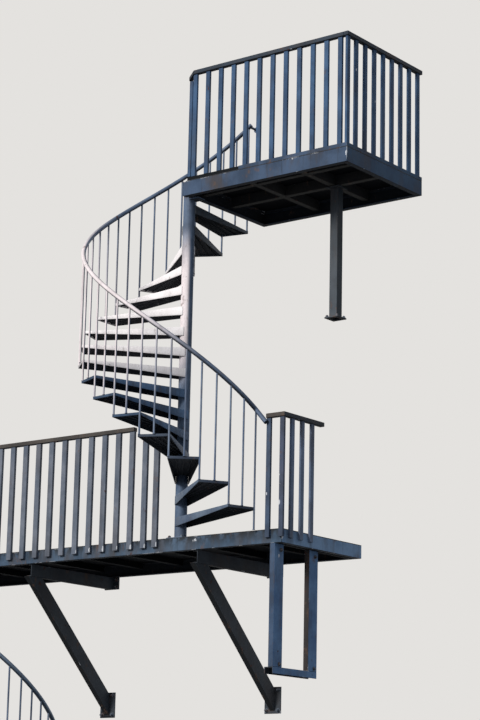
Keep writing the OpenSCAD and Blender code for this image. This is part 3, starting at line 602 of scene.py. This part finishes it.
# Balusters: round steel bars of 18 mm, two to a tread. One stands on its middle, the other
# on its rear corner, passing the notch in the next tread. Welded top and bottom.
rail_r = 0.994
rail_rise = 0.992
bar_r = 0.009
under_rail = 0.006
foot_weld = ((0.004, 0.0), (0.0035, 0.003), (0.0, 0.007))


def baluster_mesh(angles, drop=0.0):
    """Bars at angles from a tread's middle, each with a weld collar at its foot."""
    shape = bmesh.new()
    for off in angles:
        top = rail_rise - off / tread_turn * riser - under_rail
        collar = [(bar_r + out, up - drop) for out, up in foot_weld]
        for profile in ([(bar_r, -drop), (bar_r, top)], collar):
            lathe(shape, profile, Matrix.Rotation(math.radians(off), 4, "Z")
                  @ Matrix.Translation((rail_r, 0, 0)))
    return mesh_of("balusters", shape)


def lathe(shape, profile, matrix, sides=12):
    """Adds a closed turned form with this profile of (radius, height) pairs."""
    rows = [[shape.verts.new(matrix @ Vector((r * math.cos(a), r * math.sin(a), z)))
             for a in (2 * math.pi * i / sides for i in range(sides))] for r, z in profile]
    for low, high in zip(rows, rows[1:]):
        for i in range(sides):
            j = (i + 1) % sides
            shape.faces.new((low[i], low[j], high[j], high[i])).smooth = True
    shape.faces.new(rows[0][::-1])
    shape.faces.new(rows[-1])


# a grey blue, with painted sunlight nearly white on the faces turned to the sun round the middle
# of the flight
painted_sunlit_zone = ((-0.774, -1.971, 2.400), 1.55)
bar_paint = weathered_paint("grey_blue_alkyd_on_round_bar", "54647c", "7a8798", grime_and_shade="2b323c",
    chips=0.3, stain=0.3, painted_sunlight=painted_sunlit_zone)
two_bars = baluster_mesh((0.0, -tread_turn / 2))
start_bar = baluster_mesh((tread_turn / 2,), riser)
for name, mesh, start, count, replaced in (
        ("balusters_upper_bars", two_bars, upper, upper_count, ["balusters_upper"]),
        ("baluster_upper_start", start_bar, upper, 1, []),
        ("balusters_lower_bars", two_bars, lower, lower_count, ["balusters_lower"]),
        ("baluster_lower_start", start_bar, lower, 1, [])):
    placed(flight(name, mesh, start, count, 0, bar_paint), "pale_paint", *replaced)


# Handrails: round steel tubes of 42 mm, rolled to the winding and bent out to the first
# slat of the railing, welded on the balusters. The upper one ends in a hook.
def path_mesh(*paths):
    """Lines of points as a mesh of edges."""
    shape = bmesh.new()
    for points in paths:
        verts = [shape.verts.new(p) for p in points]
        for a, b in zip(verts, verts[1:]):
            shape.edges.new((a, b))
    return mesh_of("lines", shape)


def tube_tree():
    """Round bar along each line of the start mesh, with small uneven waves."""
    tree, given, end = tree_with("bar_along_line", Radius=0.02, Sides=16, Wave=0.0,
                                 Wavelength=0.02)
    line = add(tree, "GeometryNodeMeshToCurve", {0: given["Geometry"]})
    ring = add(tree, "GeometryNodeCurvePrimitiveCircle", {"Resolution": given["Sides"],
        "Radius": given["Radius"]})
    bar = add(tree, "GeometryNodeCurveToMesh", {"Curve": line, "Profile Curve": ring,
        "Fill Caps": True})
    scale = add(tree, "ShaderNodeMath", {0: 1.0, 1: given["Wavelength"]}, operation="DIVIDE")
    wave = add(tree, "ShaderNodeTexNoise", {"Scale": scale, "W": 4.0}, noise_dimensions="4D")
    middle = add(tree, "ShaderNodeVectorMath", {0: wave.outputs["Color"], 1: (0.5, 0.5, 0.5)},
        operation="SUBTRACT")
    push = add(tree, "ShaderNodeVectorMath", {0: middle, "Scale": given["Wave"]},
        operation="SCALE")
    moved = add(tree, "GeometryNodeSetPosition", {"Geometry": bar, "Offset": push})
    smooth = add(tree, "GeometryNodeSetShadeSmooth", {"Geometry": moved})
    return close_tree(tree, smooth, given, end)


tubes = tube_tree()
depth = 1.250
seat_gap = 0.0003
slat_w, slat_t = 0.048, 0.026
walk_right, walk_left = 0.990, -4.267
rail_top_t = 0.040
right_under = walk_top + 1.043 - rail_top_t
open_slat = 0.843
low_open_slat = lower_centre.x - (open_slat - upper_centre.x)
rail_tube_r = 0.0212
rail_line = -depth - slat_t - seat_gap - rail_tube_r
tip_drop = 0.043
bend_r = 0.025
bend_step = 2.5
hook_angle = -268.0
past_last = 2.0


def rail_point(start, angle):
    """Point of a handrail's middle line at an angle round its column."""
    (centre, first), a = start, math.radians(angle)
    return Vector((centre.x + rail_r * math.cos(a), centre.y + rail_r * math.sin(a),
                   centre.z + riser + rail_rise + (first - angle) / tread_turn * riser))


def rail_path(start, first, last, slat_x):
    """From the slat, round the corner above the last baluster, and along the winding."""
    sharp = rail_point(start, first)
    end = Vector((slat_x, rail_line, right_under - tip_drop))
    out = sharp + (end - sharp).normalized() * bend_r
    on = first + math.copysign(math.degrees(bend_r / rail_r), last - first)
    back = rail_point(start, on)
    bend = [(1 - t) ** 2 * out + 2 * t * (1 - t) * sharp + t * t * back
            for t in (0.0, 0.2, 0.4, 0.6, 0.8, 1.0)]
    count = int(abs(last - on) / bend_step) + 1
    return [end, *bend, *(rail_point(start, on + (last - on) * i / count)
                          for i in range(1, count + 1))]


# smoother than the bars with handling, with painted sunlight where the sun reaches it
rail_paint = weathered_paint("grey_blue_alkyd_on_handrail", "415067", "637389", grime_and_shade="2a313b",
    rust=0.45, chips=0.3, gloss=0.42, stain=0.3, painted_sunlight=painted_sunlit_zone)
# a paler, evenly worn blue
low_rail_paint = weathered_paint("worn_blue_alkyd_on_lower_handrail", "6d8096", "8b9db0",
    grime_and_shade="414c58", rust=0.45, chips=0.3, gloss=0.42, stain=0.3)
upper_rail = rail_path(upper, upper_first + tread_turn / 2, hook_angle, open_slat - slat_w / 4)
lower_rail = rail_path(lower, lower_top - tread_turn / 2,
                       lower_first + tread_turn / 2 + past_last, low_open_slat + slat_w / 4)
for level, path, finish in (("upper", upper_rail, rail_paint),
                            ("lower", lower_rail, low_rail_paint)):
    placed(grown("handrail_" + level + "_tube", path_mesh(path), tubes, finish,
                 Radius=rail_tube_r, Sides=20), "pale_paint", "handrail_" + level)
for slot in nodes["handrail_hook"].material_slots:
    slot.material = rail_paint


# Slat railings: upright folded-steel boxes, open at their feet. The walkway's are welded
# on the outer face of its channel and hang past it; the platform's stand on a bottom rail.
def slat_tree():
    """A hollow box with rounded corners standing on each point of the start mesh."""
    tree, given, end = tree_with("slats", Length=1.0, Width=0.048, Depth=0.026, Wall=0.003,
                                 Round=0.004)

    def rounded_box(cut, round_):
        width, depth = (add(tree, "ShaderNodeMath", {0: given[key], 1: cut},
                            operation="SUBTRACT") for key in ("Width", "Depth"))
        outline = add(tree, "GeometryNodeCurvePrimitiveQuadrilateral", {"Width": width,
            "Height": depth})
        return add(tree, "GeometryNodeFilletCurve", {"Curve": outline, "Count": 3,
            "Radius": round_}, mode="POLY").outputs[0]

    both = add(tree, "ShaderNodeMath", {0: given["Wall"], 1: 2.0}, operation="MULTIPLY")
    inner_round = add(tree, "ShaderNodeMath", {0: given["Round"], 1: 0.5}, operation="MULTIPLY")
    pair_of = add(tree, "GeometryNodeJoinGeometry")
    for curve in (rounded_box(0.0, given["Round"]), rounded_box(both, inner_round)):
        tree.links.new(curve, pair_of.inputs[0])
    foot = add(tree, "GeometryNodeFillCurve", {"Curve": pair_of}, mode="NGONS")
    up = add(tree, "ShaderNodeCombineXYZ", {"Z": given["Length"]})
    raised = add(tree, "GeometryNodeExtrudeMesh", {"Mesh": foot, "Offset": up,
        "Individual": False})
    closed = add(tree, "GeometryNodeJoinGeometry")
    for part in (raised, add(tree, "GeometryNodeFlipFaces", {0: foot})):
        tree.links.new(part.outputs[0], closed.inputs[0])
    solid = add(tree, "GeometryNodeMergeByDistance", {"Geometry": closed, "Distance": merge_gap})
    row = add(tree, "GeometryNodeInstanceOnPoints", {"Points": given["Geometry"],
        "Instance": solid})
    return close_tree(tree, row, given, end)


slats = slat_tree()


def slat_row(name, points, top, section, finish, *replaced):
    """Slats from their foot points up to one height, their broad faces flat."""
    length = top - points[0][2]
    row = grown(name, point_mesh(points), slats, finish, Length=length, Width=section[0],
                Depth=section[1])
    for face in row.data.polygons:
        face.use_smooth = face.area < 0.005 * length
    placed(row, "slat_paint", *replaced)


plate_t = 0.006
slat_foot = 0.110
long_w, long_t = 0.060, 0.030
long_pitch, side_pitch = 0.171, 0.152
long_end = -0.731
long_left = lower_centre.x + 0.095
long_under = walk_top + 1.080 - rail_top_t
short_top = walk_top - plate_t + 0.950
long_y = -depth - long_t / 2
long_count = int((long_end - long_w - long_left) / long_pitch) + 1
long_places = [long_end - long_w / 2 - i * long_pitch for i in range(long_count)]
short_places = [-0.595, -0.456]
slat_kicks = ((0.09, 0.2),)
kicked = [((x + long_w / 2, -depth - long_t, slat_foot + 0.02), 0.016 + 0.005 * (i * 2 % 3))
          for i, x in enumerate(short_places + long_places[:5])]
# greyed by the sun, with white chips where shoes have kicked the feet
long_paint = weathered_paint("sun_greyed_alkyd_on_long_slats", "525b68", "6e747f", chips=0.45,
    stain=0.35, worn_at=slat_kicks, knocks=kicked)
# deep blue-grey on the slat beside the opening, and darker still on the corner slat,
# each with a few large white chips
right_paint = weathered_paint("grey_blue_alkyd_on_end_slats", "2a3a4f", "40536b", rust=0.4,
    stain=0.25, worn_at=slat_kicks, knocks=(((0.835, -1.276, 0.50), 0.02),))
corner_paint = weathered_paint("light_grey_alkyd_on_corner_slat", "2f3949", "48536a",
                               rust=0.4, chips=0.4, stain=0.3, worn_at=slat_kicks,
                               knocks=(((0.974, -1.276, 0.66), 0.02),
                                       ((0.980, -1.276, 0.58), 0.02),
                                       ((0.974, -1.276, 0.42), 0.014)))
# a dull lighter grey, stained brown
side_paint = weathered_paint("dull_grey_alkyd_on_side_slats", "5a6980", "6e7e97", rust=0.4,
    chips=0.35, stain=0.55, worn_at=slat_kicks)
# clear dark blue with two white chips on the platform's right side
slat_paint = weathered_paint("dark_blue_alkyd_on_platform_slats", "263f5c", "3c5a7b", rust=0.15,
    chips=0.45, stain=0.35,
    knocks=(((1.642, -1.097, 4.382), 0.025), ((1.642, -0.79, 4.17), 0.025)))
front_y = -depth - slat_t / 2
right_x, left_x = walk_right + slat_t / 2, walk_left - slat_t / 2
right_corner = walk_right + slat_t - slat_w / 2
left_corner = walk_left - slat_t + slat_w / 2
left_count = math.ceil((low_open_slat - left_corner) / long_pitch)
side_start = 0.115
side_count = int((depth - side_start - slat_w / 2) / side_pitch) + 1
side_places = [-depth + side_start + i * side_pitch for i in range(side_count)]
flat_on, edge_on = (slat_w, slat_t), (slat_t, slat_w)
slat_row("walkway_front_slats", [(x, long_y, slat_foot) for x in long_places], long_under,
         (long_w, long_t), long_paint, "railing_walkway_front")
slat_row("walkway_short_slats", [(x, long_y, slat_foot) for x in short_places], short_top,
         (long_w, long_t), long_paint)
slat_row("walkway_open_slat", [(open_slat, front_y, slat_foot)], right_under, flat_on,
         right_paint, "railing_walkway_right")
slat_row("walkway_corner_slat", [(right_corner, front_y, slat_foot)], right_under, flat_on,
         corner_paint)
slat_row("walkway_right_side_slats",
         [(right_x, y, slat_foot) for y in side_places[:3]], right_under,
         edge_on, side_paint, "railing_walkway_right_side")
slat_row("walkway_left_slats",
         [(left_corner + i * (low_open_slat - left_corner) / left_count, front_y, slat_foot)
          for i in range(left_count + 1)], right_under, flat_on, long_paint,
         "railing_walkway_left")
slat_row("walkway_left_side_slats",
         [(left_x, y, slat_foot) for y in side_places], right_under, edge_on,
         long_paint, "railing_walkway_left_side")

plat_top = walk_top + 17 * riser
plat_left, plat_right = -0.220, 1.648
plat_under = plat_top + 1.104 - rail_top_t
bottom_rail_t = 0.036
plat_foot = plat_top + bottom_rail_t
plat_y = -depth + plate_t + slat_t / 2
plat_x = plat_right - plate_t - slat_t / 2
front_start, front_end, front_pitch = 0.082, 0.044, 0.154
front_count = int((plat_right - front_end - plat_left - front_start) / front_pitch) + 1
slat_row("platform_front_slats",
         [(plat_left + front_start + i * front_pitch, plat_y, plat_foot)
          for i in range(front_count)], plat_under, flat_on, slat_paint,
         "railing_platform_front")
plat_side_start, plat_side_pitch = 0.161, 0.148
plat_side_count = int((depth - plat_side_start - slat_w / 2) / plat_side_pitch) + 1
plat_side_places = [-depth + plate_t + slat_w / 2] + [
    -depth + plat_side_start + i * plat_side_pitch for i in range(plat_side_count)]
slat_row("platform_side_slats", [(plat_x, y, plat_top) for y in plat_side_places], plat_under,
         edge_on, slat_paint, "railing_platform_side")

# Top rails: steel box rails of 50 x 40 mm with rounded corners, butted where two meet and
# welded on the slats. The platform's also has a drop at its left end and a bottom rail.
rail_w = 0.050
rail_edge = 0.004


def rail_bars(name, lines, *finishes, width=rail_w, height=rail_top_t):
    """Straight rails with rounded edges along the lines of their feet, ends upright."""
    shape = bmesh.new()
    for a, b in lines:
        run = Vector((b[0] - a[0], b[1] - a[1], 0.0)).normalized()
        side = Vector((-run.y, run.x, 0.0)) * (width / 2)
        ends = [[shape.verts.new(Vector(p) + s + Vector((0, 0, z))) for s, z in (
            (-side, 0), (side, 0), (side, height), (-side, height))] for p in (a, b)]
        for i in range(4):
            j = (i + 1) % 4
            shape.faces.new((ends[0][i], ends[1][i], ends[1][j], ends[0][j]))
        shape.faces.new(ends[0])
        shape.faces.new(ends[1][::-1])
    bmesh.ops.recalc_face_normals(shape, faces=shape.faces)
    finish_edges(shape, rail_edge)
    rail = new_piece(mesh_of(name, shape), *finishes)
    placed(rail, "slat_paint")
    return rail


# brown-grey with dust and handling
top_paint = weathered_paint("brown_alkyd_on_top_rails", "35322f", "4d4741", rust=0.6, chips=0.3,
    dust=0.8)
# nearly black with a blue cast; on the walkway's right rail it is painted shade on the faces to
# the right
night_paint = weathered_paint("blue_black_alkyd_on_top_rails", "1d2630", "2c3845", chips=0.3)
# painted shade: near black, so that the bottom rail reads as the dark slot of shade under the
# slats
slot_paint = weathered_paint("black_painted_shade_on_bottom_rail", "04070b", "070b0f", grime_and_shade="030506",
    rust=-0.5, chips=-0.5, gloss=0.9, stain=0.0, dust=0.0)
right_rail_back = -depth + 0.580
rail_bars("walkway_top_rail_long",
          [((long_left, long_y, long_under), (long_end, long_y, long_under))], top_paint)
# painted shade: the rail's faces to the right take the near-black paint
shaded_side_finish(rail_bars("walkway_top_rail_right", [
    ((open_slat - slat_w / 2, front_y, right_under),
     (right_x + rail_w / 2, front_y, right_under)),
    ((right_x, front_y + rail_w / 2, right_under), (right_x, right_rail_back, right_under))],
    top_paint, night_paint), rightward)
rail_bars("walkway_top_rail_left", [
    ((left_x - rail_w / 2, front_y, right_under),
     (low_open_slat + slat_w / 2, front_y, right_under)),
    ((left_x, front_y + rail_w / 2, right_under), (left_x, 0.0, right_under))], top_paint)
plat_end = plat_x - rail_w / 2
end_post_w, rail_drop = 0.038, 0.060
post_x0 = plat_left + 0.014
run_x = post_x0 + end_post_w + 0.014
rail_bars("platform_top_rail", [
    ((run_x, plat_y, plat_under), (plat_end, plat_y, plat_under)),
    ((plat_x, plat_y - rail_w / 2, plat_under), (plat_x, 0.0, plat_under)),
    ((post_x0, plat_y, plat_under - rail_drop), (run_x, plat_y, plat_under))],
    night_paint)
rail_bars("platform_end_post",
          [((post_x0, plat_y, plat_foot), (post_x0 + end_post_w, plat_y, plat_foot))],
          slat_paint, width=slat_t, height=plat_under - rail_drop - plat_foot)
bottom_y = -depth + plate_t + 0.025
rail_bars("platform_bottom_rail",
          [((post_x0, bottom_y, plat_top), (plat_end, bottom_y, plat_top))],
          slot_paint, height=bottom_rail_t)


# Bolts: zinc-plated M16 and M20 nuts on studs with washers, painted over with the rest.
# They hold the brackets' plates, the foot plates and the hanging legs.
def bolt_tree():
    """A hexagon nut, washer and stud end on each point, square to the surface."""
    tree, given, end = tree_with("bolts", Across=0.024, Height=0.013, Stud=0.012, Washer=0.003)
    half, washer_r, stud_r = (add(tree, "ShaderNodeMath", {0: given["Across"], 1: share},
                                  operation="MULTIPLY") for share in (0.577, 0.8, 0.33))
    stud_l = add(tree, "ShaderNodeMath", {0: given["Height"], 1: given["Stud"]}, operation="ADD")
    whole = add(tree, "GeometryNodeJoinGeometry")
    for sides, radius, length, base in (
            (6, half, given["Height"], given["Washer"]), (16, washer_r, given["Washer"], 0.0),
            (10, stud_r, stud_l, 0.0)):
        drum = add(tree, "GeometryNodeMeshCylinder", {"Vertices": sides, "Radius": radius,
            "Depth": length}, fill_type="NGON")
        lift = add(tree, "ShaderNodeMath", {0: length, 1: 0.5, 2: base}, operation="MULTIPLY_ADD")
        raised = add(tree, "GeometryNodeTransform", {"Geometry": drum.outputs["Mesh"],
            "Translation": add(tree, "ShaderNodeCombineXYZ", {"Z": lift})})
        tree.links.new(raised.outputs[0], whole.inputs[0])
    out = add(tree, "GeometryNodeInputNamedAttribute", {"Name": "out"}, data_type="FLOAT_VECTOR")
    aim = add(tree, "FunctionNodeAlignRotationToVector", {"Vector": out}, axis="Z")
    turn = add(tree, "FunctionNodeRandomValue", {2: 0.0, 3: 6.283, "Seed": 7}).outputs[1]
    spin = add(tree, "ShaderNodeCombineXYZ", {"Z": turn})
    both = add(tree, "FunctionNodeRotateRotation", {"Rotation": aim, "Rotate By": spin},
        rotation_space="LOCAL")
    nuts = add(tree, "GeometryNodeInstanceOnPoints", {"Points": given["Geometry"],
        "Instance": whole, "Rotation": both})
    return close_tree(tree, nuts, given, end)


def bolt_points(*groups):
    """Points with the direction in which each bolt stands out, one for each group."""
    mesh = point_mesh([p for places, way in groups for p in places])
    out = mesh.attributes.new("out", "FLOAT_VECTOR", "POINT")
    for i, outward in enumerate(way for places, way in groups for p in places):
        out.data[i].vector = outward
    return mesh


# grey paint that rust has largely broken through
bolt_paint = weathered_paint("painted_over_zinc_bolts", "4a5460", "6b7681", rust=1.1, chips=0.3)
bolts = bolt_tree()
strut_foot, anchor_face = -1.216, -0.012
anchors = [(x + dx, anchor_face, z) for x in (0.0, -2.055, -4.110) for dx in (-0.068, 0.068)
           for z in (-0.036, 0.036, strut_foot - 0.095, strut_foot + 0.095)]
placed(grown("wall_anchor_nuts", bolt_points((anchors, frontward)), bolts, bolt_paint,
             Across=0.027, Height=0.016, Stud=0.014), "frame_paint")
column_plate, post_plate = 0.014, 0.012
foot_bolts = [(x + dx, y + dy, z) for x, y, z, out in (
    (upper_centre.x, upper_centre.y, walk_top + column_plate, 0.072),
    (lower_centre.x, lower_centre.y, lower_foot.z + column_plate, 0.105),
    (1.048, -0.545, 2.230 + post_plate, 0.056)) for dx in (-out, out) for dy in (-out, out)]
leg_bolts = [(walk_right - 0.074, y, z) for y in (-1.160, -0.634) for z in (0.005, -1.000)]
plate_points = bolt_points((foot_bolts, Vector((0, 0, 1))), (leg_bolts, rightward))
placed(grown("plate_nuts", plate_points, bolts, bolt_paint, Across=0.024, Height=0.013,
             Stud=0.008), "frame_paint")

# Welds: hand-laid fillet beads of steel, 6 to 8 mm wide, where slats and treads meet
# the channel and the column, painted over with everything else.
bead = dict(Radius=0.004, Sides=8, Wave=0.002, Wavelength=0.006)
bead_y = -depth - 0.001
bead_heights = (0.125, 0.150, 0.172)
slat_beads = [[(x + dx, bead_y, z) for z in bead_heights] for x, w in (
    [(x, long_w) for x in long_places + short_places]
    + [(x, slat_w) for x in (open_slat, right_corner)]) for dx in (-w / 2, w / 2)]
placed(grown("slat_weld_beads", path_mesh(*slat_beads), tubes, slat_paint, **bead),
       "slat_paint")
bead_ring_r = 0.0585
tread_beads = []
for (centre, first), count in ((upper, upper_count), (lower, lower_count)):
    for k in range(1, count + 1):
        angles = [math.radians(first - (k - 1) * tread_turn + a) for a in range(-48, 49, 12)]
        tread_beads.append([Vector((centre.x + bead_ring_r * math.cos(a),
                                    centre.y + bead_ring_r * math.sin(a),
                                    centre.z + k * riser)) for a in angles])
placed(grown("tread_weld_beads", path_mesh(*tread_beads), tubes, column_paint, **bead),
       "pale_paint")


# Studio: a pale plain floor, an even pale surround and one broad soft lamp from the
# front left, as the daylight falls in the photograph.
def looked_at(tree):
    """1 where the camera, a reflection or glass looks at the background, and else 0."""
    rays, mask = add(tree, "ShaderNodeLightPath").outputs, 0.0
    for ray in ("Is Camera Ray", "Is Glossy Ray", "Is Transmission Ray"):
        mask = add(tree, "ShaderNodeMath", {0: rays[ray], 1: mask}, operation="MAXIMUM")
    return mask


# matt and pale to the eye, but dark enough to throw no light up at the stair
floor_paint = bpy.data.materials.new("plain_matt_floor")
floor_paint.use_nodes = True
floor_tree = floor_paint.node_tree
floor_shader = floor_tree.nodes["Principled BSDF"]
floor_colour = add(floor_tree, "ShaderNodeMix", {0: looked_at(floor_tree), 6: linear("6a6c70"),
    7: linear("d8d6d2")}, data_type="RGBA")
floor_tree.links.new(floor_colour.outputs[2], floor_shader.inputs["Base Color"])
floor_shader.inputs["Roughness"].default_value = 0.9
foot_z = cad_box[0].z - 0.001
far = 60.0
floor_mesh = bpy.data.meshes.new("floor")
floor_mesh.from_pydata([(-far, -far, foot_z), (far, -far, foot_z), (far, far, foot_z),
                        (-far, far, foot_z)], [], [(0, 1, 2, 3)])
floor = new_piece(floor_mesh, floor_paint)

world = bpy.data.worlds.new("pale_surround")
scene.world = world
world.use_nodes = True
sky = world.node_tree
base = sky.nodes["Background"]
base.inputs["Color"].default_value = linear("c4cbd6")
base.inputs["Strength"].default_value = 0.75
pale = add(sky, "ShaderNodeBackground", {"Color": linear("e4e2df"), "Strength": 1.0})
mixed = add(sky, "ShaderNodeMixShader", {0: looked_at(sky), 1: base, 2: pale})
sky.links.new(mixed.outputs[0], sky.nodes["World Output"].inputs[0])

lamp = bpy.data.lights.new("broad_lamp", "SUN")
lamp.energy = 3.2
lamp.angle = math.radians(18)
lamp.color = (1.0, 0.98, 0.96)
sun = bpy.data.objects.new("broad_lamp", lamp)
sun.rotation_mode = "QUATERNION"
sun.rotation_quaternion = Vector((0.17, 0.88, -0.42)).to_track_quat("-Z", "Y")
scene.collection.objects.link(sun)

# Camera: a long lens from low down, far off to the right, looks up at the stair. It was
# found from the edges of the platform, the walkway and the flight.
eye = (11.90337, -16.02073, -2.54854)
yaw, pitch, roll = math.radians(37.70994), math.radians(13.02576), math.radians(1.22604)
focal, image_height, sensor = 2095.504, 720, 36.0
view = bpy.data.cameras.new("photo_view")
view.sensor_width = sensor
view.lens = focal / image_height * sensor
view.clip_end = 200.0
camera = bpy.data.objects.new("photo_view", view)
camera.matrix_world = (
    Matrix.Translation(eye) @ Matrix.Rotation(yaw, 4, "Z")
    @ Matrix.Rotation(math.pi / 2 + pitch, 4, "X") @ Matrix.Rotation(roll, 4, "Z"))
scene.collection.objects.link(camera)
scene.camera = camera
scene.view_settings.view_transform = "Standard"
